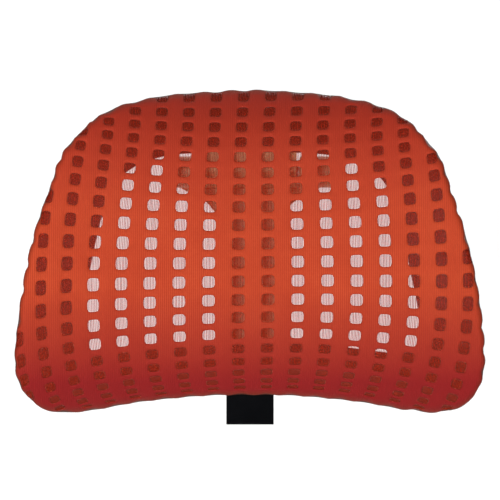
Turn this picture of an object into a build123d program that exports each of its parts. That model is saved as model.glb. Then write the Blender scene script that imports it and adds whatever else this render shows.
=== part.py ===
from build123d import *
import math
import os
import time

# Chair headrest attachment: a dished ring frame under a stretched knit cover,
# hinged on a carriage that slides in steps on a flat post.
# Millimetres. +X right as seen by someone facing the cover, +Y back, +Z up.
# The model is laid out about the middle of the cover's front (x = 0, z = 0 on
# the front surface) and moved at the end, so that the origin of the written
# files is the middle of the mounting face on the foot of the post.

# ---------------------------------------------------------------- dimensions
ORIGIN_Y = 60.0            # mounting face behind the middle of the cover
ORIGIN_Z = -96.0           # middle of the bolt pair below the middle of the cover

# front surface: wings come forward, top and bottom roll back
WING_FORWARD = 20.0        # how far the side edges come forward
WING_X = 170.0             # half width where that is measured
ROLL_FADE = 0.35           # the roll is this much weaker at the sides
ROLL_2, ROLL_3, ROLL_4 = 6.94841739e-4, -7.42266743e-6, 1.65908564e-7

COVER_T = 1.5              # knit cover thickness
COVER_DEPTH = 13.5         # front of the cover to the back of its turned edge
FRAME_FRONT = 1.8          # front of the frame behind the front of the cover
FRAME_WALL = 3.5           # frame's front wall
BEZEL_FRONT = 13.7
BEZEL_T = 2.5

HINGE_Y, HINGE_Z = 35.0, 66.0
KNUCKLE_R = 11.5
KNUCKLE_HALF = 34.0        # centre knuckle, half length
OUTER_IN, OUTER_OUT = 36.5, 61.5
AXLE_R = 4.0
BUSH_R = 6.0

POST_W, POST_T = 35.0, 10.0
POST_Y = 48.0              # front face of the post
POST_BOTTOM, POST_TOP = -120.2, 77.0
FOOT_TOP = -72.0
BOLT_SPACING = 24.0
BOLT_R = 3.05
INSERT_R = 4.0

STEP = 8.0                 # pitch of the height steps
STEPS = 6                  # steps above the lowest position
TRAVEL = STEP * STEPS
NOTCH_R = 3.4
NOTCH_Y = 59.2
NOSE_R = 3.0
NOSE_Z = 20.0
STOP_Z = 6.0

HOUSING_BOTTOM, HOUSING_TOP = -10.0, 52.0
HOUSING_FRONT = 38.0
HOUSING_X = 24.0
HOUSING_IN = 19.0
LIP_BOTTOM = -62.0         # the housing's front lip runs down over the post
LIP_X = 19.0
COVER_PLATE_Y = 59.4
TOWER_END = 80.0

# outline of the cover, right half, from the middle of the top to the middle
# of the bottom: x, z
OUTLINE = [
    (0.0, 126.4), (21.8, 125.5), (39.2, 124.2), (56.7, 122.6), (74.1, 119.7),
    (91.5, 115.1), (105.0, 109.2), (117.7, 100.3), (126.4, 90.4),
    (135.1, 79.5), (143.8, 56.7), (152.6, 30.2), (161.3, -4.7),
    (167.1, -40.7), (169.5, -66.0), (168.6, -82.8), (165.2, -92.3),
    (159.5, -100.4), (151.5, -106.4), (140.5, -109.7), (126.4, -109.7),
    (109.0, -107.5), (91.5, -104.2), (74.1, -101.7), (56.7, -99.9),
    (39.2, -98.4), (20.0, -97.5), (0.0, -97.3),
]
# opening of the frame, right half, the same way round
OPENING = [
    (0.0, 80.3), (34.9, 79.7), (54.0, 78.4), (69.7, 75.2), (83.5, 69.5),
    (94.5, 61.5), (101.5, 51.5), (106.3, 38.0), (110.8, 20.0),
    (115.6, -2.9), (120.6, -27.0), (124.2, -45.0), (124.8, -53.5),
    (122.0, -60.5), (115.5, -65.2), (106.0, -66.4), (92.5, -65.0),
    (75.6, -62.8), (54.5, -60.0), (32.7, -58.0), (0.0, -56.9),
]
SCREWS = [(46, 101.5), (104, 84), (130.5, 34), (141.5, -26), (121, -87), (42, -79)]


# ------------------------------------------------------------------- helpers
def front(x, z):
    roll = ROLL_2 * z**2 + ROLL_3 * z**3 + ROLL_4 * z**4
    u = (x / WING_X) ** 2
    return -WING_FORWARD * u + roll * (1 - ROLL_FADE * u)


def normal(x, z):
    e = 0.05
    dx = (front(x + e, z) - front(x - e, z)) / (2 * e)
    dz = (front(x, z + e) - front(x, z - e)) / (2 * e)
    length = math.sqrt(1 + dx * dx + dz * dz)
    return Vector(-dx / length, 1 / length, -dz / length)


def times(p, q):
    """Product of two polynomials, lowest power first."""
    out = [0.0] * (len(p) + len(q) - 1)
    for i, a in enumerate(p):
        for j, b in enumerate(q):
            out[i + j] += a * b
    return out


def surface(offset):
    """The front surface moved back by offset, a little larger than the cover:
    one polynomial patch, second degree across and fourth degree up."""
    x0, x1, z0, z1 = -185.0, 185.0, -122.0, 138.0
    line = [x0 / WING_X, (x1 - x0) / WING_X]
    across = times(line, line)
    up = [z0, z1 - z0]
    up2 = times(up, up)
    roll = [0.0] * 5
    for factor, power in ((ROLL_2, up2), (ROLL_3, times(up2, up)),
                          (ROLL_4, times(up2, up2))):
        for i, value in enumerate(power):
            roll[i] += factor * value
    grid = [[0.0] * 5 for _ in range(3)]
    for i, a in enumerate(across):
        grid[i][0] -= WING_FORWARD * a
    fade = [1 - ROLL_FADE * across[0], -ROLL_FADE * across[1],
            -ROLL_FADE * across[2]]
    for i, a in enumerate(fade):
        for j, v in enumerate(roll):
            grid[i][j] += a * v
    rows = []
    for k in range(3):
        row = []
        for m in range(5):
            y = sum(grid[i][j] * math.comb(k, i) / math.comb(2, i)
                    * math.comb(m, j) / math.comb(4, j)
                    for i in range(k + 1) for j in range(m + 1))
            row.append(Vector(x0 + (x1 - x0) * k / 2, y + offset,
                              z0 + (z1 - z0) * m / 4))
        rows.append(row)
    return Face.make_bezier_surface(rows)


def slab(offset, thickness):
    return extrude(surface(offset), amount=thickness, dir=(0, 1, 0))


def loop(half, inset, arcs=28):
    """Closed wire of arcs through the whole outline, moved inwards by inset."""
    pts = list(half) + [(-x, z) for x, z in reversed(half[1:-1])]
    base = Edge.make_spline([Vector(x, 0, z) for x, z in pts], periodic=True)
    out = []
    for i in range(2 * arcs):
        p, t = base @ (i / (2 * arcs)), base % (i / (2 * arcs))
        # clockwise seen from the front, so the inward side is on the right
        out.append(Vector(p.X + inset * t.Z, 0, p.Z - inset * t.X))
    out.append(out[0])
    return Wire([Edge.make_three_point_arc(*out[i:i + 3])
                 for i in range(0, 2 * arcs, 2)])


def prism(half, inset, y0=-60.0, y1=120.0):
    face = Face(loop(half, inset)).moved(Location((0, y0, 0)))
    return extrude(face, amount=y1 - y0, dir=(0, 1, 0))


def ring(outline_inset, opening_inset, y0=-60.0, y1=120.0, inner=None):
    """Ring between the outline and the opening, or the outline again."""
    hole = loop(inner or OPENING, opening_inset)
    face = Face(loop(OUTLINE, outline_inset), [hole])
    return extrude(face.moved(Location((0, y0, 0))), amount=y1 - y0, dir=(0, 1, 0))


def box(x0, x1, y0, y1, z0, z1):
    return Pos((x0 + x1) / 2, (y0 + y1) / 2, (z0 + z1) / 2) * Box(
        abs(x1 - x0), abs(y1 - y0), abs(z1 - z0))


def rod_x(r, x0, x1, y, z):
    return Pos((x0 + x1) / 2, y, z) * Rot(0, 90, 0) * Cylinder(r, abs(x1 - x0))


def rod_y(r, y0, y1, x, z):
    return Pos(x, (y0 + y1) / 2, z) * Rot(90, 0, 0) * Cylinder(r, abs(y1 - y0))


def rod_z(r, z0, z1, x, y):
    return Pos(x, y, (z0 + z1) / 2) * Cylinder(r, abs(z1 - z0))


def along(point, direction, shape):
    """shape, built up from z = 0, placed at point with its z along direction."""
    return Plane(origin=point, z_dir=direction) * shape


def soften(part, edges, r):
    """Round the edges, or leave them when they can't be rounded."""
    for radius in (r, r / 2):
        try:
            done = fillet(edges, radius)
            if done.is_valid and len(done.solids()) == len(part.solids()):
                return done
        except Exception:
            pass
    print("edges left sharp")
    return part


def one(part):
    solids = part.solids()
    if len(solids) > 1:
        print("more than one solid:", [round(s.volume, 1) for s in solids])
        solids = sorted(solids, key=lambda s: -s.volume)[:1]
    return Part() + solids[0]


# ---------------------------------------------------------------- head: cover
def make_cover():
    outer = slab(0, COVER_DEPTH) & prism(OUTLINE, 0)
    inner = slab(COVER_T, COVER_DEPTH - COVER_T - 1.3) & prism(OUTLINE, 1.7)
    mouth = slab(5, 30) & prism(OUTLINE, 9)
    # the front edge is eased in two small steps
    ease = slab(-5, 5.6) & ring(-8, 1.2, inner=OUTLINE)
    return one(outer - inner - mouth - ease)


# ---------------------------------------------------------------- head: frame
def make_frame():
    body = slab(FRAME_FRONT, 11.7) & ring(2.0, 0)
    # the front edge is eased in steps, so that the cover turns over it softly
    for depth, inset in ((0.7, 4.6), (1.9, 3.2), (3.6, 2.4)):
        body -= slab(0, FRAME_FRONT + depth) & ring(-8, inset, inner=OUTLINE)
    # the cover's turned edge lies in a step round the back
    body -= slab(12.0, 30) & ring(-8, 9.0, inner=OUTLINE)
    # pocket behind the front wall
    body -= slab(FRAME_FRONT + FRAME_WALL, 30) & ring(5.0, -2.5)
    # screw posts, square to the back of the frame
    keep = slab(FRAME_FRONT + 2.0, 9.7)
    bosses = Part()
    holes = Part()
    for x, z in SCREWS:
        for s in (1, -1):
            n = normal(s * x, z)
            base = Vector(s * x, front(s * x, z) + BEZEL_FRONT + BEZEL_T, z)
            bosses += along(base - n * 20, n, Pos(0, 0, 12) * Cylinder(3.5, 24))
            holes += along(base - n * 6.5, n, Pos(0, 0, 6) * Cylinder(1.55, 12))
    body = body + (bosses & keep)
    body = body - holes
    # hinge knuckle and the web that carries it
    knuckle = rod_x(KNUCKLE_R, -KNUCKLE_HALF, KNUCKLE_HALF, HINGE_Y, HINGE_Z)
    web = box(-KNUCKLE_HALF, KNUCKLE_HALF, 15, 33, HINGE_Z, 84)
    web = web & slab(FRAME_FRONT + 1.0, 60)
    body = body + web + knuckle
    for s in (1, -1):
        for x in (12, 24):
            rib = box(s * x - 1.2, s * x + 1.2, 14, 24, 81, 101)
            body = body + (rib & slab(FRAME_FRONT + 2, 9.7))
    body = body - rod_x(5.0, -40, 40, HINGE_Y, HINGE_Z)
    for s in (1, -1):
        body = body - rod_x(BUSH_R + 0.05, s * (KNUCKLE_HALF - 14), s * 40,
                            HINGE_Y, HINGE_Z)
    return one(body)


def make_hem():
    return one(slab(8.6, 3.4) & ring(5.3, 8.8, inner=OUTLINE))


def make_bezel():
    plate = slab(BEZEL_FRONT, BEZEL_T) & ring(4.0, -0.5)
    # the rear edges are eased
    plate -= slab(BEZEL_FRONT + BEZEL_T - 0.7, 9) & ring(-8, 4.9, inner=OUTLINE)
    plate = plate - box(-KNUCKLE_HALF - 0.4, KNUCKLE_HALF + 0.4, 0, 60, 40, 84.4)
    for x, z in SCREWS:
        for s in (1, -1):
            n = normal(s * x, z)
            base = Vector(s * x, front(s * x, z) + BEZEL_FRONT + BEZEL_T, z)
            plate = plate - along(base - n * 6, n, Pos(0, 0, 6) * Cylinder(1.75, 12))
    return one(plate)


def make_bezel_screws():
    screws = []
    for x, z in SCREWS:
        for s in (1, -1):
            n = normal(s * x, z)
            base = Vector(s * x, front(s * x, z) + BEZEL_FRONT + BEZEL_T, z) + n * 0.06
            head = Pos(0, 0, 0.9) * Cylinder(2.8, 1.8)
            head = fillet(head.edges().group_by(Axis.Z)[-1], 0.8)
            shank = Pos(0, 0, -3) * Cylinder(1.5, 6)
            screw = head + shank
            screw -= Pos(0, 0, 1.5) * (Box(3.0, 0.7, 1.6) + Box(0.7, 3.0, 1.6))
            screws.append(along(base, n, screw))
    return Part() + screws


def make_bushes():
    out = []
    for s in (1, -1):
        b = rod_x(BUSH_R, s * (KNUCKLE_HALF - 13.5), s * KNUCKLE_HALF, HINGE_Y, HINGE_Z)
        b += rod_x(8.0, s * KNUCKLE_HALF, s * (KNUCKLE_HALF + 1.0), HINGE_Y, HINGE_Z)
        b -= rod_x(AXLE_R + 0.05, s * 10, s * 40, HINGE_Y, HINGE_Z)
        out.append(b)
    return Part() + out


# ------------------------------------------------------------------- carriage
def make_lip():
    """Front lip of the housing, a shallow channel with its lower corners cut."""
    g = [(0, LIP_BOTTOM), (LIP_X - 4, LIP_BOTTOM), (LIP_X, LIP_BOTTOM + 4),
         (LIP_X, HOUSING_BOTTOM + 4), (0, HOUSING_BOTTOM + 4)]
    pts = [Vector(x, HOUSING_FRONT, z) for x, z in g]
    pts += [Vector(-x, HOUSING_FRONT, z) for x, z in reversed(g[1:-1])]
    face = Face(Wire.make_polygon(pts, close=True))
    lip = extrude(face, amount=3.6, dir=(0, 1, 0))
    edges = [e for e in lip.edges()
             if abs((e @ 0).Y - HOUSING_FRONT) < 0.01
             and abs((e @ 1).Y - HOUSING_FRONT) < 0.01
             and (e @ 0.5).Z < HOUSING_BOTTOM + 3]
    lip = soften(lip, edges, 1.2)
    for s in (1, -1):
        lip += box(s * (LIP_X - 2.4), s * LIP_X, HOUSING_FRONT + 2, 46.6,
                   LIP_BOTTOM + 6, HOUSING_BOTTOM + 2)
    return lip


def make_housing():
    # gusset seen from the front, half of it: x, z
    g = [(0, HOUSING_BOTTOM), (HOUSING_X, HOUSING_BOTTOM), (HOUSING_X, 34.9),
         (26.5, 37.4), (31.6, 43.6), (45.8, 51.6), (51.5, 54.5),
         (61.0, 57.0), (61.0, 62.0), (0, 62.0)]
    pts = [Vector(x, HOUSING_FRONT, z) for x, z in g]
    pts += [Vector(-x, HOUSING_FRONT, z) for x, z in reversed(g[1:-1])]
    face = Face(Wire.make_polygon(pts, close=True))
    plate = extrude(face, amount=46.6 - HOUSING_FRONT, dir=(0, 1, 0))
    upright = [e for e in plate.edges() if abs((e @ 0).Y - (e @ 1).Y) > 5
               and (e @ 0).Z < 50]
    plate = soften(plate, upright, 2.0)
    body = plate
    # side walls and the lip that the rear cover screws to
    for s in (1, -1):
        body += box(s * HOUSING_IN, s * HOUSING_X, HOUSING_FRONT + 2, COVER_PLATE_Y,
                    HOUSING_BOTTOM, HOUSING_TOP)
    bottom_front = [e for e in body.edges()
                    if abs((e @ 0).Y - HOUSING_FRONT) < 0.01
                    and abs((e @ 1).Y - HOUSING_FRONT) < 0.01 and (e @ 0.5).Z < 54]
    body = soften(body, bottom_front, 1.2)
    body += make_lip()
    for s in (1, -1):
        k = rod_x(KNUCKLE_R, s * OUTER_IN, s * OUTER_OUT, HINGE_Y, HINGE_Z)
        k = soften(k, k.edges().filter_by(GeomType.CIRCLE), 1.2)
        body += k
        # web from the knuckle back to the plate
        body += box(s * OUTER_IN, s * (OUTER_OUT - 1.2), HINGE_Y, 46.6, 57, 73)
    # room for the centre knuckle and its web to turn
    body -= rod_x(KNUCKLE_R + 1.0, -OUTER_IN, OUTER_IN, HINGE_Y, HINGE_Z)
    body -= box(-OUTER_IN, OUTER_IN, 0, 60, HINGE_Z - 4, 100)
    body -= rod_x(AXLE_R + 0.05, -70, 70, HINGE_Y, HINGE_Z)
    for s in (1, -1):
        body -= rod_x(7.0, s * 54.5, s * 70, HINGE_Y, HINGE_Z)
        for z in (-4.0, 46.0):
            body -= rod_y(1.55, 49, 62, s * 21.5, z)
    body -= rod_y(3.05, 30, 50, 0, STOP_Z)
    # weight-saving windows beside the stop screw
    for s in (1, -1):
        body -= box(s * 8, s * 17, HOUSING_FRONT + 4, 46.7, 14, 44)
    return one(body)


def make_rear_cover():
    plate = box(-HOUSING_X, HOUSING_X, COVER_PLATE_Y, COVER_PLATE_Y + 4.2,
                HOUSING_BOTTOM, HOUSING_TOP)
    plate = soften(plate, plate.edges().filter_by(Axis.Y), 3.0)
    plate = soften(plate, plate.faces().sort_by(Axis.Y)[-1].edges(), 1.2)
    tower = rod_y(8.0, COVER_PLATE_Y + 1, TOWER_END, 0, NOSE_Z)
    tower = soften(tower, tower.faces().sort_by(Axis.Y)[-1].edges(), 0.8)
    plate += tower
    for a in (45, 135, 225, 315):
        rib = Pos(0, 0, NOSE_Z) * Rot(0, a, 0) * Pos(9.5, 66, 0) * Box(5.0, 8.0, 1.8)
        plate += rib
    plate -= rod_y(NOSE_R + 0.1, 50, 70, 0, NOSE_Z)
    plate -= rod_y(4.6, 63.4, 90, 0, NOSE_Z)
    for s in (1, -1):
        for z in (-4.0, 46.0):
            plate -= rod_y(1.75, 50, 70, s * 21.5, z)
    return one(plate)


def make_cover_screws():
    out = []
    for s in (1, -1):
        for z in (-4.0, 46.0):
            y = COVER_PLATE_Y + 4.2 + 0.05
            screw = rod_y(1.5, y - 11, y, s * 21.5, z) + rod_y(2.4, y, y + 2.2, s * 21.5, z)
            screw -= Pos(s * 21.5, y + 2.0, z) * Rot(90, 0, 0) * extrude(
                RegularPolygon(1.35, 6), amount=1.4, both=True)
            out.append(screw)
    return Part() + out


def make_axle():
    shaft = rod_x(AXLE_R, -54.6, 59.0, HINGE_Y, HINGE_Z)
    head = rod_x(6.5, -58.6, -54.6, HINGE_Y, HINGE_Z)
    head = fillet(head.edges().group_by(Axis.X)[0], 0.8)
    head -= Pos(-58.6, HINGE_Y, HINGE_Z) * Rot(0, 90, 0) * extrude(
        RegularPolygon(2.9, 6), amount=2.4, both=True)
    return one(shaft + head)


def make_nut():
    nut = Pos(54.6, HINGE_Y, HINGE_Z) * Rot(0, 90, 0) * extrude(
        RegularPolygon(6.7, 6), amount=4.0)
    return one(nut - rod_x(AXLE_R + 0.05, 50, 65, HINGE_Y, HINGE_Z))


def make_washers():
    out = []
    for s in (1, -1):
        out.append(rod_x(9.0, s * 35.1, s * 36.4, HINGE_Y, HINGE_Z)
                   - rod_x(AXLE_R + 0.15, s * 30, s * 40, HINGE_Y, HINGE_Z))
    return Part() + out


def make_end_caps():
    out = []
    for s in (1, -1):
        cap = rod_x(6.93, s * 59.3, s * OUTER_OUT, HINGE_Y, HINGE_Z)
        flange = rod_x(8.6, s * OUTER_OUT, s * (OUTER_OUT + 1.6), HINGE_Y, HINGE_Z)
        edge = flange.edges().sort_by(Axis.X)[-1 if s > 0 else 0]
        flange = fillet(edge, 1.0)
        out.append(cap + flange)
    return Part() + out


def make_glide(s):
    """Plain U liner between the post's edge and the housing, s = side."""
    gap = 0.05
    half = POST_W / 2
    body = box(s * 12.0, s * 18.93, 46.65, 59.35, HOUSING_BOTTOM + 1.5,
               HOUSING_TOP - 1.5)
    body -= box(0, s * (half + gap), POST_Y - gap, POST_Y + POST_T + gap, -60, 100)
    return one(body)


def make_stop_screw():
    screw = rod_y(3.0, HOUSING_FRONT + 0.4, 47.0, 0, STOP_Z)
    screw += rod_y(2.8, 47.0, 52.4, 0, STOP_Z)
    screw -= Pos(0, HOUSING_FRONT + 0.4, STOP_Z) * Rot(90, 0, 0) * extrude(
        RegularPolygon(1.75, 6), amount=3.0, both=True)
    return one(screw)


def make_plunger():
    ball = Pos(0, NOTCH_Y, NOSE_Z) * Sphere(NOSE_R)
    stem = rod_y(NOSE_R, NOTCH_Y, 63.6, 0, NOSE_Z)
    shoulder = rod_y(4.5, 63.5, 66.0, 0, NOSE_Z)
    guide = rod_y(1.6, 66.0, 71.0, 0, NOSE_Z)
    guide = fillet(guide.faces().sort_by(Axis.Y)[-1].edges(), 0.6)
    return one(ball + stem + shoulder + guide)


def make_spring():
    length = 76.0 - 66.45 - 0.45
    coil = Helix(pitch=length / 6.0, height=length, radius=3.5)
    section = Plane(origin=coil @ 0, z_dir=coil % 0) * Circle(0.38)
    wire = sweep(section, path=coil, is_frenet=True)
    return one(Pos(0, 66.45, NOSE_Z) * Rot(-90, 0, 0) * wire)


def make_detent_cap():
    plug = rod_y(4.5, 76.1, TOWER_END, 0, NOSE_Z)
    head = rod_y(7.0, TOWER_END, TOWER_END + 2.4, 0, NOSE_Z)
    head = fillet(head.faces().sort_by(Axis.Y)[-1].edges(), 0.9)
    cap = plug + head
    cap -= box(-4.2, 4.2, TOWER_END + 1.2, TOWER_END + 4, NOSE_Z - 0.6, NOSE_Z + 0.6)
    return one(cap)


# ----------------------------------------------------------------------- post
def make_post():
    bar = box(-POST_W / 2, POST_W / 2, POST_Y, POST_Y + POST_T, POST_BOTTOM, POST_TOP)
    pad = box(-POST_W / 2, POST_W / 2, POST_Y + 5, ORIGIN_Y, POST_BOTTOM, FOOT_TOP)
    bar += pad
    bar = soften(bar, [e for e in bar.edges().filter_by(Axis.Z)
                       if abs(abs((e @ 0.5).X) - POST_W / 2) < 0.1
                       and ((e @ 0.5).Y < 49 or (e @ 0.5).Y > 57)], 1.2)
    # slot for the travel stop
    r = 3.2
    slot = box(-r, r, POST_Y - 1, POST_Y + 5, STOP_Z, STOP_Z + TRAVEL)
    slot += rod_y(r, POST_Y - 1, POST_Y + 5, 0, STOP_Z)
    slot += rod_y(r, POST_Y - 1, POST_Y + 5, 0, STOP_Z + TRAVEL)
    bar -= slot
    for k in range(STEPS + 1):
        bar -= rod_x(NOTCH_R, -5.0, 5.0, NOTCH_Y, NOSE_Z + STEP * k)
    for s in (1, -1):
        z = ORIGIN_Z + s * BOLT_SPACING / 2
        bar -= rod_y(INSERT_R + 0.03, ORIGIN_Y - 9.2, ORIGIN_Y + 1, 0, z)
    # relief that holds the top cap's legs
    bar -= box(-10, 10, POST_Y + 3, POST_Y + 7, POST_TOP - 8, POST_TOP + 1)
    return one(bar)


def make_post_cap():
    top = box(-POST_W / 2, POST_W / 2, POST_Y, POST_Y + POST_T, POST_TOP, POST_TOP + 3)
    top = soften(top, top.edges().filter_by(Axis.Z), 1.2)
    top = soften(top, top.faces().sort_by(Axis.Z)[-1].edges(), 1.0)
    leg = box(-9.9, 9.9, POST_Y + 3.1, POST_Y + 6.9, POST_TOP - 7, POST_TOP + 0.5)
    return one(top + leg)


def make_inserts():
    out = []
    for s in (1, -1):
        z = ORIGIN_Z + s * BOLT_SPACING / 2
        ins = rod_y(INSERT_R, ORIGIN_Y - 9, ORIGIN_Y, 0, z)
        ins -= rod_y(BOLT_R, ORIGIN_Y - 9.5, ORIGIN_Y + 1, 0, z)
        out.append(ins)
    return Part() + out


NODES = {
    "mesh_cover": make_cover,
    "head_frame": make_frame,
    "cover_hem_strip": make_hem,
    "rear_bezel": make_bezel,
    "bezel_screws": make_bezel_screws,
    "hinge_bushes": make_bushes,
    "carriage_housing": make_housing,
    "carriage_rear_cover": make_rear_cover,
    "carriage_screws": make_cover_screws,
    "hinge_axle": make_axle,
    "axle_nut": make_nut,
    "friction_washers": make_washers,
    "axle_end_caps": make_end_caps,
    "glide_left": lambda: make_glide(-1),
    "glide_right": lambda: make_glide(1),
    "travel_stop_screw": make_stop_screw,
    "detent_plunger": make_plunger,
    "detent_spring": make_spring,
    "detent_cap": make_detent_cap,
    "post_bar": make_post,
    "post_top_cap": make_post_cap,
    "foot_inserts": make_inserts,
}


def main():
    os.makedirs("parts", exist_ok=True)
    for name, make in NODES.items():
        began = time.time()
        made = make().moved(Location((0, -ORIGIN_Y, -ORIGIN_Z)))
        made.label = name
        export_step(made, "parts/" + name + ".step")
        size = made.bounding_box().size
        print(name, len(made.solids()), round(made.volume), made.is_valid,
              [round(v, 1) for v in (size.X, size.Y, size.Z)],
              round(time.time() - began, 1), "s", flush=True)


main()
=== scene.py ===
import math

import bpy
import numpy as np
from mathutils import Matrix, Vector
from mathutils.geometry import delaunay_2d_cdt


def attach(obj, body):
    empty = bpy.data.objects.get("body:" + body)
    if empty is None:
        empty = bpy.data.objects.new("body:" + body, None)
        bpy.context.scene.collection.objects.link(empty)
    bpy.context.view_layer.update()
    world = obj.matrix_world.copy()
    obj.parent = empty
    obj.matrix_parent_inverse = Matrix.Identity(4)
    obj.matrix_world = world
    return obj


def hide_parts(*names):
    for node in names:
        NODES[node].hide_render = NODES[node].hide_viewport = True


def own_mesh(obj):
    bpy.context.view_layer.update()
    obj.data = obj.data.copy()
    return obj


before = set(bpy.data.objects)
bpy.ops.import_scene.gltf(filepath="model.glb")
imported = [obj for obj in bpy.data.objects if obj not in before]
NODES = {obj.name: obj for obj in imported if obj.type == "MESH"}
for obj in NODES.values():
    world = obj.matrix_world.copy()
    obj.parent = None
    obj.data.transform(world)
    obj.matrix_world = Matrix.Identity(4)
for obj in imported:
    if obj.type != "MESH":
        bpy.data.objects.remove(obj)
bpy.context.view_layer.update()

MM = 0.001

# Everything is laid out in millimetres about the middle of the cover's front,
# and moved to the frame's origin at the end.
SHIFT = np.array([0.0, -60.0, 96.0])

# ------------------------------------------------------------------ the camera
TARGET = Vector((0.0, -0.055, 0.1047))
DISTANCE = 2.6
cam_data = bpy.data.cameras.new("view_camera")
cam_data.sensor_width = 36.0
cam_data.lens = 36.0 * DISTANCE / 0.36325
cam_data.clip_end = 60.0
cam_data.dof.use_dof = False
camera = bpy.data.objects.new("view_camera", cam_data)
bpy.context.scene.collection.objects.link(camera)
camera.location = TARGET + Vector((0.0, -DISTANCE, 0.0))
camera.rotation_euler = (math.pi / 2, 0.0, 0.0)
bpy.context.scene.camera = camera

# ------------------------------------------------------------- the front shape
ROLL_2, ROLL_3, ROLL_4 = 6.94841739e-4, -7.42266743e-6, 1.65908564e-7


def front(x, z):
    roll = ROLL_2 * z**2 + ROLL_3 * z**3 + ROLL_4 * z**4
    u = (x / 170.0) ** 2
    return -20.0 * u + roll * (1 - 0.35 * u)


HALF = [
    (0.0, 126.4), (21.8, 125.5), (39.2, 124.2), (56.7, 122.6), (74.1, 119.7),
    (91.5, 115.1), (105.0, 109.2), (117.7, 100.3), (126.4, 90.4),
    (135.1, 79.5), (143.8, 56.7), (152.6, 30.2), (161.3, -4.7),
    (167.1, -40.7), (169.5, -66.0), (168.6, -82.8), (165.2, -92.3),
    (159.5, -100.4), (151.5, -106.4), (140.5, -109.7), (126.4, -109.7),
    (109.0, -107.5), (91.5, -104.2), (74.1, -101.7), (56.7, -99.9),
    (39.2, -98.4), (20.0, -97.5), (0.0, -97.3),
]


def closed_spline(points, count):
    """Smooth closed curve through the points, as count points evenly spaced."""
    p = np.array(points, float)
    n = len(p)
    h = np.linalg.norm(np.roll(p, -1, 0) - p, axis=1)
    a = np.zeros((n, n))
    b = np.zeros((n, 2))
    for i in range(n):
        j, k = (i - 1) % n, (i + 1) % n
        a[i, j] += h[j]
        a[i, i] += 2 * (h[j] + h[i])
        a[i, k] += h[i]
        b[i] = 6 * ((p[k] - p[i]) / h[i] - (p[i] - p[j]) / h[j])
    m = np.linalg.solve(a, b)
    out = []
    for i in range(n):
        k = (i + 1) % n
        t = np.linspace(0, h[i], 60, endpoint=False)[:, None]
        s = h[i] - t
        out.append(m[i] * s**3 / (6 * h[i]) + m[k] * t**3 / (6 * h[i])
                   + (p[i] / h[i] - m[i] * h[i] / 6) * s
                   + (p[k] / h[i] - m[k] * h[i] / 6) * t)
    q = np.concatenate(out)
    q = np.concatenate([q, q[:1]])
    along = np.concatenate([[0], np.cumsum(np.linalg.norm(np.diff(q, axis=0), axis=1))])
    at = np.linspace(0, along[-1], count, endpoint=False)
    return np.stack([np.interp(at, along, q[:, k]) for k in range(2)], 1)


EDGE = closed_spline(HALF + [(-x, z) for x, z in reversed(HALF[1:-1])], 760)
_t = np.roll(EDGE, -1, 0) - np.roll(EDGE, 1, 0)
_t /= np.linalg.norm(_t, axis=1)[:, None]
INWARD = np.stack([_t[:, 1], -_t[:, 0]], 1)      # the loop runs clockwise


def nearest(p):
    """Nearest point of the edge, the inward direction there, and the inset."""
    p = np.asarray(p, float).reshape(-1, 2)
    foot, inward, inset = [], [], []
    for c in np.array_split(p, max(1, len(p) // 1500)):
        d = ((c[:, None] - EDGE[None]) ** 2).sum(2)
        i = d.argmin(1)
        best = np.full(len(c), 1e18)
        f = np.zeros((len(c), 2))
        n = np.zeros((len(c), 2))
        for a, b in ((i - 1, i), (i, (i + 1) % len(EDGE))):
            e = EDGE[b] - EDGE[a]
            t = np.clip(((c - EDGE[a]) * e).sum(1) / (e * e).sum(1), 0, 1)
            g = EDGE[a] + t[:, None] * e
            dd = np.linalg.norm(c - g, axis=1)
            m = INWARD[a] * (1 - t[:, None]) + INWARD[b] * t[:, None]
            w = dd < best
            best[w], f[w], n[w] = dd[w], g[w], m[w]
        n /= np.linalg.norm(n, axis=1)[:, None]
        foot.append(f)
        inward.append(n)
        inset.append(((c - f) * n).sum(1))
    return np.concatenate(foot), np.concatenate(inward), np.concatenate(inset)


# the cover's section at its edge: a rounded rim, a short side, a turned edge
RIM = 5.5
BACK = 1.6
DEPTH = 13.4
LIP = 6.2
L1 = RIM * math.pi / 2
L2 = DEPTH - RIM - BACK
L3 = BACK * math.pi / 2
REACH = L1 + L2 + L3 + LIP


def lift(flat, down=0.0):
    """Points of the flat pattern brought onto the cover, down mm under its face."""
    flat = np.asarray(flat, float).reshape(-1, 2)
    foot, inward, inset = nearest(flat)
    t = RIM - inset
    a = np.clip(t / RIM, 0, math.pi / 2)
    b = np.clip((t - L1 - L2) / BACK, 0, math.pi / 2)
    q = np.where(t < 0, inset, RIM - RIM * np.sin(a))
    y = np.where(t < 0, 0.0, RIM - RIM * np.cos(a))
    y = y + np.clip(t - L1, 0, L2)
    q = q + BACK - BACK * np.cos(b)
    y = y + BACK * np.sin(b)
    q = q + np.clip(t - L1 - L2 - L3, 0, 99)
    # the way inwards, as inset and depth
    nq = np.where(t < 0, 0.0, np.sin(a) * np.cos(b))
    ny = np.where(t < 0, 1.0, np.cos(a) * np.cos(b) - np.sin(b))
    q, y = q + nq * down, y + ny * down
    p = foot + inward * q[:, None]
    keep = t < 0
    p[keep] = flat[keep]
    return np.stack([p[:, 0], front(p[:, 0], p[:, 1]) + y, p[:, 1]], 1)


def unroll(seen):
    """Points as seen from the front brought onto the flat pattern."""
    seen = np.asarray(seen, float).reshape(-1, 2)
    foot, inward, inset = nearest(seen)
    a = np.arcsin(np.clip((RIM - inset) / RIM, 0, 1))
    q = np.where(inset < RIM, RIM - RIM * a, inset)
    q = np.where(inset < 0, RIM - L1 + inset * 1.2, q)
    out = foot + inward * q[:, None]
    out[inset >= RIM] = seen[inset >= RIM]
    return out


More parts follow.
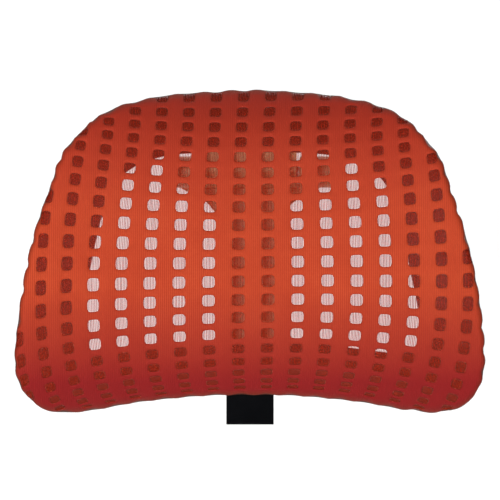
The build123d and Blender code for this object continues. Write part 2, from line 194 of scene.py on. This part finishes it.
# --------------------------------------------------------------- the windows
GRID_X = {(0, 0): -8.450, (0, 1): -0.792, (0, 2): 1.284, (0, 3): -1.239, (0, 4): 1.561,
          (0, 5): 1.034, (1, 0): 172.459, (1, 1): 9.931, (1, 2): -31.338, (1, 3): -14.500,
          (1, 4): 14.380, (2, 0): 2.340, (2, 1): -3.209, (2, 2): -1.900, (2, 3): 1.617,
          (3, 0): -8.834, (3, 1): -2.985, (3, 2): 4.283, (4, 0): 1.141, (4, 1): 2.993,
          (5, 0): -1.472}
GRID_Z = {(0, 0): -0.437, (0, 1): -137.534, (0, 2): 2.123, (0, 3): 41.191, (0, 4): 11.527,
          (0, 5): -11.920, (1, 0): 2.580, (1, 1): 6.581, (1, 2): 3.012, (1, 3): -4.869,
          (1, 4): -0.163, (2, 0): 1.350, (2, 1): -32.756, (2, 2): -10.121, (2, 3): 26.335,
          (3, 0): -4.988, (3, 1): -1.296, (3, 2): -5.761, (4, 0): -0.342, (4, 1): -6.286,
          (5, 0): 5.868}
COLUMNS = range(-2, 19)
ROWS = range(-2, 23)
HALF_W, HALF_H = 0.208, 0.305      # of the window, in columns and rows


LAST_ROW = 19.4


def grid(c, r):
    """Place of the knit's columns and rows, as seen from the front."""
    c, r = np.broadcast_arrays(np.asarray(c, float), np.asarray(r, float))
    p = fitted(c, np.minimum(r, LAST_ROW))
    past = np.maximum(r - LAST_ROW, 0.0)
    step = (fitted(c, r * 0 + LAST_ROW) - fitted(c, r * 0 + LAST_ROW - 0.6)) / 0.6
    return p + step * (past * 0.90)[..., None]


def fitted(c, r):
    c = (np.asarray(c, float) - 8) / 8
    r = (np.asarray(r, float) - 10) / 10
    x = sum(k * c**i * r**j for (i, j), k in GRID_X.items())
    z = sum(k * c**i * r**j for (i, j), k in GRID_Z.items())
    return np.stack([x, z], -1)


K = 28
_a = np.arange(K) / K * 2 * math.pi + math.pi / K
RX = np.sign(np.cos(_a)) * np.abs(np.cos(_a)) ** 0.52
RZ = np.sign(np.sin(_a)) * np.abs(np.sin(_a)) ** 0.52


def loop_of(c, r, grow=1.0, add=0.0):
    return grid(c + RX * (HALF_W * grow + add), r + RZ * (HALF_H * grow + add * 1.5))


windows = []
for c in COLUMNS:
    for r in ROWS:
        middle = grid(float(c), float(r))
        # the lattice may fold back on itself far outside the cover
        px = np.linalg.norm(grid(c + 0.5, r) - grid(c - 0.5, r))
        pz = np.linalg.norm(grid(c, r + 0.5) - grid(c, r - 0.5))
        side = np.cross(np.append(grid(c + 0.5, r) - grid(c - 0.5, r), 0),
                        np.append(grid(c, r + 0.5) - grid(c, r - 0.5), 0))[2]
        if px < 8 or pz < 3.3 or side > 0 or r > 19:
            continue
        _, _, inset = nearest(loop_of(c, r))
        if inset.mean() > 0.3 and inset.min() > -5.5:
            windows.append((c, r))

pulls = []
for c in COLUMNS:
    for r in ROWS:
        px = np.linalg.norm(grid(c + 0.5, r) - grid(c - 0.5, r))
        pz = np.linalg.norm(grid(c, r + 0.5) - grid(c, r - 0.5))
        _, _, inset = nearest(grid(float(c), float(r)))
        if px > 8 and pz > 4 and inset[0] > -9:
            u = unroll(grid(float(c), float(r)))[0]
            pulls.append((u[0], u[1], px * 0.30, max(pz, 8.0) * 0.42))


def crossing(path):
    """Where a line of the lattice leaves the outline, if it does."""
    inset = nearest(path)[2]
    out = []
    for i in np.argwhere(inset[:-1] * inset[1:] < 0)[:, 0]:
        t = inset[i] / (inset[i] - inset[i + 1])
        out.append(path[i] + t * (path[i + 1] - path[i]))
    return out


MID = EDGE.mean(0)
scallops = []
steps = np.linspace(-1.0, 1.0, 61)
for c in np.arange(-1, 18):
    rows = np.linspace(-1.5, 21.5, 240)
    for p in crossing(grid(np.full(240, float(c)), rows)):
        scallops.append((p, 20.0 if abs(p[1]) > 60 else 16.0, 0))
for r in np.arange(-1, 22):
    cols = np.linspace(-2.0, 18.5, 240)
    for p in crossing(grid(cols, np.full(240, float(r)))):
        if -92 < p[1] < 112:
            scallops.append((p, 12.0, 1))
kept = []
for p, pitch, kind_ in scallops:
    if all(np.linalg.norm(p - q) > 9.0 for q, _, _ in kept):
        kept.append((p, pitch, kind_))
at_, in_, _ = nearest(np.array([p for p, _, _ in kept]))
PULLS = np.array(pulls)
SCALLOPS = []
for (p, pitch, kind_), foot_, way_ in zip(kept, at_, in_):
    u = foot_ + way_ * (RIM - L1)
    SCALLOPS.append((u[0], u[1], way_[0], way_[1], pitch * 0.26, 5.5))
SCALLOPS = np.array(SCALLOPS)

loops = [unroll(loop_of(c, r)) for c, r in windows]
rims = [unroll(loop_of(c, r, 1.0, 0.028)) for c, r in windows]

# ------------------------------------------------------------ the cover's sheet
pts, cons, tag = [], [], []


def add_loop(p, name):
    base = len(pts)
    pts.extend(map(tuple, p))
    tag.extend([name] * len(p))
    cons.extend((base + i, base + (i + 1) % len(p)) for i in range(len(p)))


for w, (a, b) in enumerate(zip(loops, rims)):
    add_loop(a, ("hole", w))
    add_loop(b, ("rim", w))

near = np.concatenate(rims)


def clear_of_windows(p, gap):
    p = np.asarray(p)
    ok = np.ones(len(p), bool)
    centres = np.array([loops[w].mean(0) for w in range(len(loops))])
    reach = np.array([np.linalg.norm(rims[w] - centres[w], axis=1).max()
                      for w in range(len(loops))])
    d = np.linalg.norm(p[:, None] - centres[None], axis=2)
    cand = np.argwhere(d < reach[None] + gap)
    for i, w in cand:
        if not ok[i]:
            continue
        q = rims[w]
        if np.linalg.norm(q - p[i], axis=1).min() < gap:
            ok[i] = False
            continue
        e = np.roll(q, -1, 0) - q
        s = p[i] - q
        cr = e[:, 0] * s[:, 1] - e[:, 1] * s[:, 0]
        if (cr > 0).all() or (cr < 0).all():
            ok[i] = False
    return ok


# loops round the edge, closer together where the cover turns
STOPS = [-2.0, 0.0, 1.2, 2.4, 3.6, 4.8, 6.0, 7.2, L1, L1 + L2 / 2, L1 + L2,
         L1 + L2 + L3 / 3, L1 + L2 + 2 * L3 / 3, L1 + L2 + L3,
         L1 + L2 + L3 + LIP / 2]
for k, t in enumerate(STOPS):
    p = EDGE[(k % 2)::2] + INWARD[(k % 2)::2] * (RIM - t)
    p = p[clear_of_windows(p, 0.55)]
    pts.extend(map(tuple, p))
    tag.extend([("edge", k)] * len(p))
add_loop(EDGE[::2] + INWARD[::2] * (RIM - REACH), ("border", 0))

gx, gz = np.meshgrid(np.arange(-175, 176, 2.3), np.arange(-118, 132, 2.0))
gx = gx + (np.arange(gx.shape[0]) % 2)[:, None] * 1.15
g = np.stack([gx.ravel(), gz.ravel()], 1)
_, _, inset = nearest(g)
g = g[inset > RIM + 3.2]
g = g[clear_of_windows(g, 0.7)]
pts.extend(map(tuple, g))
tag.extend([("field", 0)] * len(g))

verts, _, faces, orig, _, _ = delaunay_2d_cdt(
    [Vector(p) for p in pts], cons, [], 0, 1e-5)
flat = np.array([tuple(v) for v in verts])
names = [tag[o[0]] if len(o) else ("field", 0) for o in orig]
tri = np.array([f for f in faces if len(f) == 3])
hole = np.array([n[1] if n[0] == "hole" else -1 - i for i, n in enumerate(names)])
inside = (hole[tri[:, 0]] == hole[tri[:, 1]]) & (hole[tri[:, 1]] == hole[tri[:, 2]])
_, _, mid_inset = nearest(flat[tri].mean(1))
tri = tri[~inside & (mid_inset > RIM - REACH - 0.02)]

# the cloth is a little proud between its windows and dips into them
kind = np.array([n[0] for n in names])
drop = np.zeros(len(flat))
drop[kind == "hole"] = 0.42
drop[kind == "rim"] = 0.10
centres = np.array([l.mean(0) for l in loops])
d = np.full(len(flat), 9.0)
for part in np.array_split(np.arange(len(flat)), 20):
    dd = ((flat[part][:, None] - near[None, ::2]) ** 2).sum(2)
    d[part] = np.sqrt(dd.min(1))
free = (kind == "field") | (kind == "edge")
drop[free] = -0.14 * (1 - np.exp(-d[free] / 1.4))
# every window, and every place for one just past the rim, pulls the cloth in
pull = np.zeros(len(flat))
for part in np.array_split(np.arange(len(flat)), 40):
    dd = flat[part][:, None] - PULLS[None, :, :2]
    e = ((dd[..., 0] / PULLS[None, :, 2]) ** 2 + (dd[..., 1] / PULLS[None, :, 3]) ** 2)
    pull[part] = np.exp(-e).max(1)
_, _, flat_inset = nearest(flat)
side = np.clip((RIM - flat_inset) / L1, 0, 1)
tuck = np.zeros(len(flat))
for part in np.array_split(np.arange(len(flat)), 40):
    dd = flat[part][:, None] - SCALLOPS[None, :, :2]
    across = (dd * SCALLOPS[None, :, 2:4]).sum(2)
    beside = dd[..., 0] * SCALLOPS[None, :, 3] - dd[..., 1] * SCALLOPS[None, :, 2]
    e = (across / SCALLOPS[None, :, 5]) ** 2 + (beside / SCALLOPS[None, :, 4]) ** 2
    tuck[part] = np.exp(-e).max(1)
drop += pull * (0.50 + 0.5 * side) + 1.45 * tuck - 0.65 * side
xyz = lift(flat, 0.0)
down = lift(flat, 1.0) - xyz
xyz = xyz + down * drop[:, None]


def make_mesh(name, points, polys, material=None, smooth=True):
    me = bpy.data.meshes.new(name)
    me.from_pydata(((np.asarray(points) + SHIFT) * MM).tolist(), [],
                   [tuple(int(i) for i in f) for f in polys])
    me.update()
    if smooth:
        me.polygons.foreach_set("use_smooth", [True] * len(me.polygons))
    o = bpy.data.objects.new(name, me)
    bpy.context.scene.collection.objects.link(o)
    if material is not None:
        me.materials.append(material)
    return o


def face_out(o, towards=(0, -1, 0)):
    """Turn the faces so that the front of the cover looks forward."""
    me = o.data
    n = np.zeros(len(me.polygons) * 3)
    c = np.zeros(len(me.polygons) * 3)
    me.polygons.foreach_get("normal", n)
    n = n.reshape(-1, 3)
    me.polygons.foreach_get("center", c)
    c = c.reshape(-1, 3)
    m = np.abs(c[:, 0]) < 0.05
    if (n[m] @ np.array(towards)).mean() < 0:
        me.flip_normals()


# ------------------------------------------------------------------- materials
class Nodes:
    """A small helper for building a material's nodes."""

    def __init__(self, name):
        self.m = bpy.data.materials.new(name)
        self.m.use_nodes = True
        self.t = self.m.node_tree
        self.bsdf = next(n for n in self.t.nodes if n.type == "BSDF_PRINCIPLED")
        self.at = self.add("ShaderNodeTexCoord").outputs["Object"]

    def add(self, kind, **settings):
        n = self.t.nodes.new(kind)
        for k, v in settings.items():
            setattr(n, k, v)
        return n

    def put(self, socket, value):
        if isinstance(value, bpy.types.NodeSocket):
            self.t.links.new(value, socket)
        else:
            socket.default_value = value

    def math(self, op, a, b=None, c=None, clamp=False):
        n = self.add("ShaderNodeMath", operation=op, use_clamp=clamp)
        for s, v in zip(n.inputs, (a, b, c)):
            if v is not None:
                self.put(s, v)
        return n.outputs[0]

    def noise(self, scale, detail=3.0, rough=0.5, vector=None):
        n = self.add("ShaderNodeTexNoise")
        self.put(n.inputs["Vector"], vector or self.at)
        n.inputs["Scale"].default_value = scale
        n.inputs["Detail"].default_value = detail
        n.inputs["Roughness"].default_value = rough
        return n.outputs["Fac"]

    def voronoi(self, scale, feature="F1"):
        n = self.add("ShaderNodeTexVoronoi", feature=feature)
        self.put(n.inputs["Vector"], self.at)
        n.inputs["Scale"].default_value = scale
        return n.outputs["Distance"]

    def ramp(self, fac, stops):
        n = self.add("ShaderNodeValToRGB")
        self.put(n.inputs[0], fac)
        while len(n.color_ramp.elements) < len(stops):
            n.color_ramp.elements.new(0.5)
        for e, (p, col) in zip(n.color_ramp.elements, stops):
            e.position = p
            e.color = (*col, 1.0) if len(col) == 3 else col
        return n.outputs["Color"]

    def range(self, fac, a, b, c, d):
        n = self.add("ShaderNodeMapRange")
        self.put(n.inputs["Value"], fac)
        for k, v in zip(("From Min", "From Max", "To Min", "To Max"), (a, b, c, d)):
            n.inputs[k].default_value = v
        return n.outputs["Result"]

    def mix(self, fac, a, b, blend="MIX"):
        n = self.add("ShaderNodeMix", data_type="RGBA", blend_type=blend)
        self.put(n.inputs["Factor"], fac)
        self.put(n.inputs[6], (*a, 1.0) if isinstance(a, tuple) else a)
        self.put(n.inputs[7], (*b, 1.0) if isinstance(b, tuple) else b)
        return n.outputs[2]

    def bump(self, height, strength, distance):
        n = self.add("ShaderNodeBump")
        self.put(n.inputs["Height"], height)
        n.inputs["Strength"].default_value = strength
        n.inputs["Distance"].default_value = distance
        self.t.links.new(n.outputs["Normal"], self.bsdf.inputs["Normal"])

    def split(self):
        n = self.add("ShaderNodeSeparateXYZ")
        self.put(n.inputs[0], self.at)
        return n.outputs

    def set(self, **values):
        for k, v in values.items():
            self.put(self.bsdf.inputs[k.replace("_", " ")], v)


def knit_material():
    k = Nodes("cover_knit")
    x, y, z = k.split()
    wander = k.noise(90.0, 2.0)
    # ribs of loops run up the cloth, 1.5 mm apart, each a chain of small loops
    rib_at = k.math("ADD", k.math("MULTIPLY", x, 2 * math.pi / 0.0015),
                    k.math("MULTIPLY", wander, 1.6))
    rib = k.math("SINE", rib_at)
    slant = k.math("MULTIPLY", k.math("ABSOLUTE", k.math("SINE", k.math(
        "MULTIPLY", rib_at, 0.5))), 2.4)
    chain = k.math("SINE", k.math("ADD", k.math("MULTIPLY", z, 2 * math.pi / 0.00105),
                                  slant))
    fuzz = k.noise(2600.0, 3.0, 0.65)
    height = k.math("ADD", k.math("MULTIPLY", rib, 0.5),
                    k.math("ADD", k.math("MULTIPLY", chain, 0.26),
                           k.math("MULTIPLY", fuzz, 0.5)))
    k.bump(height, 0.55, 0.00022)
    tone = k.math("ADD", k.noise(28.0, 4.0, 0.6), k.math("MULTIPLY", k.noise(
        420.0, 2.0), 0.35))
    base = k.ramp(k.range(tone, 0.35, 1.0, 0.0, 1.0),
                  [(0.0, (0.395, 0.040, 0.0115)), (0.5, (0.45, 0.051, 0.0150)),
                   (1.0, (0.50, 0.065, 0.020))])
    # painted shade: the knit is darkened in the grooves between its ribs and loops
    groove_shade = k.range(k.math("ADD", rib, k.math("MULTIPLY", chain, 0.5)),
                     -1.5, 0.6, 0.0, 1.0)
    base = k.mix(groove_shade, (0.32, 0.027, 0.0095), base)
    # painted shade: the cloth is darker and bluer low down, and darker and browner up at the
    # top, where it turns away from the light
    low = k.range(z, 0.078, 0.008, 0.0, 1.0)
    base = k.mix(low, base, (0.218, 0.0082, 0.0085))
    high = k.range(z, 0.128, 0.214, 0.0, 0.9)
    base = k.mix(high, base, (0.31, 0.0205, 0.0110))
    # painted shade: round the rim the cloth is darkened browner where it turns away from the
    # light, then a near-black band paints the shade on the cover's side
    turn = k.add("ShaderNodeAttribute", attribute_name="turn").outputs["Fac"]
    brown = k.range(turn, 0.25, 0.75, 0.0, 0.55)
    base = k.mix(brown, base, (0.19, 0.022, 0.0075))
    edge_shade = k.ramp(k.noise(300.0, 3.0), [(0.3, (0.060, 0.010, 0.006)),
                                        (0.7, (0.105, 0.016, 0.009))])
    base = k.mix(k.range(turn, 0.84, 0.90, 0.0, 1.0), base, edge_shade)
    k.set(Base_Color=base, Roughness=k.range(fuzz, 0.3, 0.7, 0.62, 0.85),
          Sheen_Weight=0.04, Sheen_Roughness=0.5, Sheen_Tint=(1.0, 0.5, 0.3, 1.0),
          Specular_IOR_Level=0.12)
    return k.m


def filament_material():
    k = Nodes("clear_filament")
    x, y, z = k.split()
    streak = k.noise(700.0, 2.0)
    base = k.ramp(streak, [(0.3, (0.33, 0.021, 0.0075)), (0.7, (0.38, 0.026, 0.0095))])
    k.set(Base_Color=base, Roughness=k.range(streak, 0.3, 0.7, 0.25, 0.42),
          Alpha=k.range(streak, 0.3, 0.7, 0.60, 0.80), IOR=1.45,
          Specular_IOR_Level=0.12)
    k.bump(k.noise(3000.0, 2.0), 0.2, 0.0001)
    return k.m


def veil_material(name, colour, light, low, high, through):
    k = Nodes(name)
    x, y, z = k.split()
    loops_ = k.math("SINE", k.math("MULTIPLY", z, 2 * math.pi / 0.0010))
    threads = k.math("SINE", k.math("MULTIPLY", x, 2 * math.pi / 0.0009))
    n = k.noise(1800.0, 2.0)
    base = k.ramp(n, [(0.3, colour), (0.7, light)])
    cover = k.range(k.math("ADD", k.math("MULTIPLY", loops_, threads), n),
                    -0.6, 1.4, low, high)
    k.set(Base_Color=base, Roughness=0.55, Alpha=cover, Specular_IOR_Level=0.1,
          Transmission_Weight=through, IOR=1.03)
    k.bump(k.math("ADD", loops_, threads), 0.3, 0.0001)
    return k.m


def plastic(name, light, dark, rough=(0.34, 0.5), grain=1500.0, strength=0.25,
            coat=0.0, worn=None, gloss=0.5):
    """Moulded plastic: fine spark-eroded grain, a little cloudiness, rubbed spots."""
    k = Nodes(name)
    cloud = k.noise(38.0, 4.0, 0.6)
    fine = k.noise(grain, 3.0, 0.6)
    pit = k.voronoi(grain * 0.8)
    base = k.ramp(cloud, [(0.3, dark), (0.7, light)])
    if worn:
        rub = k.range(k.noise(120.0, 5.0, 0.7), 0.62, 0.75, 0.0, 0.5)
        base = k.mix(rub, base, worn)
    k.set(Base_Color=base, Roughness=k.range(k.noise(60.0, 4.0), 0.3, 0.7, *rough),
          Coat_Weight=coat, Coat_Roughness=0.25, Specular_IOR_Level=gloss)
    k.bump(k.math("ADD", fine, k.math("MULTIPLY", pit, 0.5)), strength, 0.00012)
    return k.m


def frame_material():
    """Dark moulded frame with the hinge block painted like the carriage."""
    k = Nodes("frame_plastic")
    x, y, z = k.split()
    cloud = k.noise(38.0, 4.0, 0.6)
    fine = k.noise(900.0, 3.0, 0.6)
    dark = k.ramp(cloud, [(0.3, (0.018, 0.012, 0.011)), (0.7, (0.036, 0.023, 0.020))])
    paint = k.ramp(cloud, [(0.3, (0.58, 0.41, 0.21)), (0.7, (0.68, 0.49, 0.26))])
    block = k.math("MULTIPLY", k.math("LESS_THAN", k.math("ABSOLUTE", x), 0.0345),
                   k.math("MULTIPLY", k.math("GREATER_THAN", y, -0.0458),
                          k.math("MULTIPLY", k.math("LESS_THAN", z, 0.1807),
                                 k.math("GREATER_THAN", z, 0.140))))
    k.set(Base_Color=k.mix(block, dark, paint),
          Roughness=k.range(k.noise(60.0, 4.0), 0.3, 0.7, 0.42, 0.58),
          Specular_IOR_Level=0.22)
    k.bump(k.math("ADD", fine, k.math("MULTIPLY", k.voronoi(800.0), 0.5)), 0.22, 0.00012)
    return k.m


def metal(name, colour, rough=(0.2, 0.38), axis=0, turned=1200.0, strength=0.12):
    """Machined metal: fine lines round or along the piece, faint staining."""
    k = Nodes(name)
    stain = k.noise(70.0, 4.0, 0.65)
    stretch = k.add("ShaderNodeMapping")
    k.put(stretch.inputs["Vector"], k.at)
    scale = [0.06, 0.06, 0.06]
    scale[axis] = 1.0
    stretch.inputs["Scale"].default_value = scale
    lines = k.noise(turned * 3, 2.0, 0.5, stretch.outputs[0])
    dark = tuple(c * 0.72 for c in colour)
    base = k.ramp(stain, [(0.32, dark), (0.62, colour)])
    k.set(Base_Color=base, Metallic=1.0,
          Roughness=k.range(k.math("ADD", lines, k.math("MULTIPLY", stain, 0.4)),
                            0.4, 1.0, *rough))
    k.bump(lines, strength, 0.00006)
    return k.m


knit = knit_material()
filament = filament_material()
veil = veil_material("window_film", (0.33, 0.0205, 0.0060), (0.38, 0.025, 0.0078),
                     0.39, 0.50, 0.0)
rim_veil = veil_material("window_loops", (0.45, 0.070, 0.040), (0.55, 0.10, 0.062),
                         0.16, 0.36, 0.0)
MATERIALS = {
    "head_frame": frame_material(),
    "cover_hem_strip": plastic("hem_plastic", (0.05, 0.05, 0.052), (0.03, 0.03, 0.03)),
    "rear_bezel": plastic("bezel_plastic", (0.030, 0.030, 0.033), (0.017, 0.017, 0.019),
                          (0.40, 0.58), 1300.0, 0.4, worn=(0.055, 0.055, 0.058)),
    "carriage_housing": plastic("housing_paint", (0.68, 0.49, 0.26),
                                (0.58, 0.41, 0.21), (0.38, 0.52), 1100.0, 0.3,
                                worn=(0.66, 0.55, 0.34)),
    "carriage_rear_cover": plastic("cover_plate_plastic", (0.036, 0.036, 0.038),
                                   (0.020, 0.020, 0.022), (0.38, 0.55), 1200.0, 0.35,
                                   worn=(0.06, 0.06, 0.06)),
    "post_bar": plastic("post_plastic", (0.0042, 0.0044, 0.0050), (0.0022, 0.0024, 0.0030),
                        (0.42, 0.58), 1600.0, 0.22, worn=(0.007, 0.007, 0.008),
                        gloss=0.0),
    "post_top_cap": plastic("cap_plastic", (0.03, 0.03, 0.031), (0.018, 0.018, 0.019),
                            (0.35, 0.5), 1400.0, 0.3),
    "axle_end_caps": plastic("end_cap_plastic", (0.034, 0.034, 0.036),
                             (0.02, 0.02, 0.021), (0.3, 0.45), 1400.0, 0.25),
    "detent_cap": plastic("knob_plastic", (0.034, 0.034, 0.036), (0.02, 0.02, 0.021),
                          (0.32, 0.48), 1500.0, 0.35, worn=(0.08, 0.08, 0.08)),
    "hinge_bushes": plastic("acetal", (0.80, 0.78, 0.72), (0.72, 0.70, 0.63),
                            (0.30, 0.42), 1800.0, 0.1),
    "bezel_screws": metal("black_zinc", (0.10, 0.10, 0.105), (0.28, 0.45), 2),
    "hinge_axle": metal("ground_steel", (0.62, 0.62, 0.63), (0.14, 0.28), 0),
    "foot_inserts": metal("brass", (0.72, 0.50, 0.22), (0.2, 0.36), 1),
    "detent_spring": metal("spring_steel", (0.46, 0.45, 0.44), (0.22, 0.36), 1),
}
for name, source in {"glide_left": "hinge_bushes", "glide_right": "hinge_bushes",
                     "friction_washers": "hinge_bushes",
                     "carriage_screws": "bezel_screws",
                     "travel_stop_screw": "bezel_screws",
                     "axle_nut": "hinge_axle", "detent_plunger": "hinge_axle"}.items():
    MATERIALS[name] = MATERIALS[source]

for name, o in NODES.items():
    if name in MATERIALS:
        o.data.materials.clear()
        o.data.materials.append(MATERIALS[name])

# ------------------------------------------------------------- the cover itself
cover = make_mesh("knit_cover", xyz, tri, knit)
face_out(cover)
# how far the cloth has turned round the rim; the knit material paints its rim shade from this
turn = cover.data.attributes.new("turn", "FLOAT", "POINT")
turn.data.foreach_set("value", ((RIM - flat_inset) / L1).astype(np.float32))
thick = cover.modifiers.new("cloth", "SOLIDIFY")
thick.thickness = 0.00095
thick.offset = -1.0
thick.use_even_offset = False
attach(cover, "head")
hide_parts("mesh_cover")

# loops of the knit round each window, and the sheer net inside them
vp, vf, vm = [], [], []
SCALES = [1.03, 0.93, 0.82, 0.5]
for c, r in windows:
    base = len(vp)
    for m, sc in enumerate(SCALES):
        vp.extend(lift(unroll(loop_of(c, r, sc)), 0.60 + 0.03 * m).tolist())
    vp.append(lift(unroll(grid(float(c), float(r)).reshape(1, 2)), 0.72)[0].tolist())
    for m in range(len(SCALES) - 1):
        for i in range(K):
            j = (i + 1) % K
            vf.append((base + m * K + i, base + m * K + j,
                       base + (m + 1) * K + j, base + (m + 1) * K + i))
            vm.append(0 if m == 0 else 1)
    last = base + (len(SCALES) - 1) * K
    for i in range(K):
        vf.append((last + i, last + (i + 1) % K, base + len(SCALES) * K))
        vm.append(1)
veil_piece = make_mesh("window_net", vp, vf, rim_veil)
veil_piece.data.materials.append(veil)
veil_piece.data.polygons.foreach_set("material_index", np.array(vm, np.int32))
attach(veil_piece, "head")

# clear filaments that run up each window
fp, ff = [], []
rng = np.random.default_rng(7)
RADIUS = 0.20
for c, r in windows:
    if r >= 17:                     # the lowest, short windows have the net alone
        continue
    width = np.linalg.norm(grid(c + HALF_W, r) - grid(c - HALF_W, r))
    count = max(4, int(round(width / 1.12)))
    for i in range(count):
        s = (i + 0.5) / count * 2 - 1 + rng.uniform(-0.02, 0.02)
        f = (1 - abs(s) ** 3.8) ** (1 / 3.8) if abs(s) < 1 else 0.3
        f = max(f, 0.4) * HALF_H * 1.04
        cc = np.full(5, c + s * HALF_W)
        cc = cc + rng.uniform(-0.006, 0.006)
        rr = np.linspace(r - f, r + f, 5)
        line = lift(unroll(grid(cc, rr)), 0.5)
        tangent = line[-1] - line[0]
        tangent /= np.linalg.norm(tangent)
        outv = np.array([0.0, -1.0, 0.0])
        side = np.cross(tangent, outv)
        side /= np.linalg.norm(side)
        outv = np.cross(side, tangent)
        rad = RADIUS * rng.uniform(0.85, 1.2)
        base = len(fp)
        for p in line:
            for k in range(5):
                a = 2 * math.pi * k / 5
                fp.append(p + side * math.cos(a) * rad + outv * math.sin(a) * rad)
        for m in range(4):
            for k in range(5):
                n = (k + 1) % 5
                ff.append((base + m * 5 + k, base + m * 5 + n,
                           base + m * 5 + 5 + n, base + m * 5 + 5 + k))
        ff.append(tuple(base + k for k in range(5))[::-1])
        ff.append(tuple(base + 20 + k for k in range(5)))
filaments = make_mesh("window_filaments", fp, ff, filament)
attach(filaments, "head")

area = float(sum(np.linalg.norm(np.cross(xyz[tri[:, 1]] - xyz[tri[:, 0]],
                                         xyz[tri[:, 2]] - xyz[tri[:, 0]]), axis=1)) / 2) * 1e-6
print("cover area", round(area, 5), "windows", len(windows), "verts", len(xyz),
      "tris", len(tri))

# --------------------------------------------------------- the detent's spring
turns, n = 6.0, 220
sp = []
y0, y1 = 66.45 + 0.4, 76.0 - 0.4
wire = 0.38
ends = 0.8
for i in range(n + 1):
    u = i / n
    # closed coils at both ends
    w = np.interp(u, [0, 0.12, 0.88, 1.0], [0.0, 0.055, 0.945, 1.0])
    a = 2 * math.pi * turns * u
    sp.append((3.5 * math.cos(a), y0 + (y1 - y0) * w, 20.0 + 3.5 * math.sin(a)))
sp = np.array(sp)
tv, tf = [], []
for i, p in enumerate(sp):
    t = sp[min(i + 1, n)] - sp[max(i - 1, 0)]
    t /= np.linalg.norm(t)
    radial = np.array([p[0], 0, p[2] - 20.0])
    radial /= np.linalg.norm(radial)
    other = np.cross(t, radial)
    for k in range(8):
        a = 2 * math.pi * k / 8
        tv.append(p + (radial * math.cos(a) + other * math.sin(a)) * wire)
for i in range(n):
    for k in range(8):
        m = (k + 1) % 8
        tf.append((i * 8 + k, i * 8 + m, i * 8 + 8 + m, i * 8 + 8 + k))
tf.append(tuple(range(8))[::-1])
tf.append(tuple(n * 8 + k for k in range(8)))
spring = make_mesh("detent_spring_coil", tv, tf, MATERIALS["detent_spring"])
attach(spring, "carriage")
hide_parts("detent_spring")
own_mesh(spring)

# --------------------------------------------------------------- floor and light
floor_mat = Nodes("pale_floor")
floor_mat.set(Base_Color=floor_mat.ramp(floor_mat.noise(3.0, 3.0), [
    (0.3, (0.90, 0.90, 0.90)), (0.7, (0.93, 0.93, 0.93))]), Roughness=0.8)
profile = [(-6.0, -0.32), (2.2, -0.32)]
for i in range(1, 13):
    a = math.pi / 2 * i / 12
    profile.append((2.2 + 1.2 * math.sin(a), -0.32 + 1.2 * (1 - math.cos(a))))
profile.append((3.4, 5.0))
bv = [(x, y, z) for y, z in profile for x in (-6.0, 6.0)]
bf = [(2 * i, 2 * i + 1, 2 * i + 3, 2 * i + 2) for i in range(len(profile) - 1)]
me = bpy.data.meshes.new("studio_floor")
me.from_pydata(bv, [], bf)
me.polygons.foreach_set("use_smooth", [True] * len(me.polygons))
me.materials.append(floor_mat.m)
floor = bpy.data.objects.new("studio_floor", me)
bpy.context.scene.collection.objects.link(floor)


def area_light(name, at, aim, size, power, colour=(1, 1, 1)):
    data = bpy.data.lights.new(name, "AREA")
    data.shape = "RECTANGLE"
    data.size, data.size_y = size
    data.energy = power
    data.color = colour
    o = bpy.data.objects.new(name, data)
    bpy.context.scene.collection.objects.link(o)
    o.location = at
    o.rotation_euler = (Vector(aim) - Vector(at)).to_track_quat("-Z", "Y").to_euler()
    return o


area_light("key", (-0.40, -1.9, 0.08), (0.0, 0, 0.09), (0.6, 0.35), 33.0)
area_light("fill", (0.9, -2.1, 0.02), (0, 0, 0.08), (0.7, 0.5), 5.5)
area_light("rear", (0.9, 2.3, 1.0), (0, 0, 0.1), (0.9, 0.6), 20.0)
area_light("wash", (0.0, 1.6, 2.6), (0, 3.4, 0.4), (4.0, 1.5), 84.0)
world = bpy.data.worlds.new("studio")
bpy.context.scene.world = world
world.use_nodes = True
back = world.node_tree.nodes["Background"]
back.inputs[0].default_value = (1.0, 1.0, 1.0, 1.0)
back.inputs[1].default_value = 0.15
bpy.context.scene.view_settings.view_transform = "Standard"

# ---------------------------------------------------------------------- finish
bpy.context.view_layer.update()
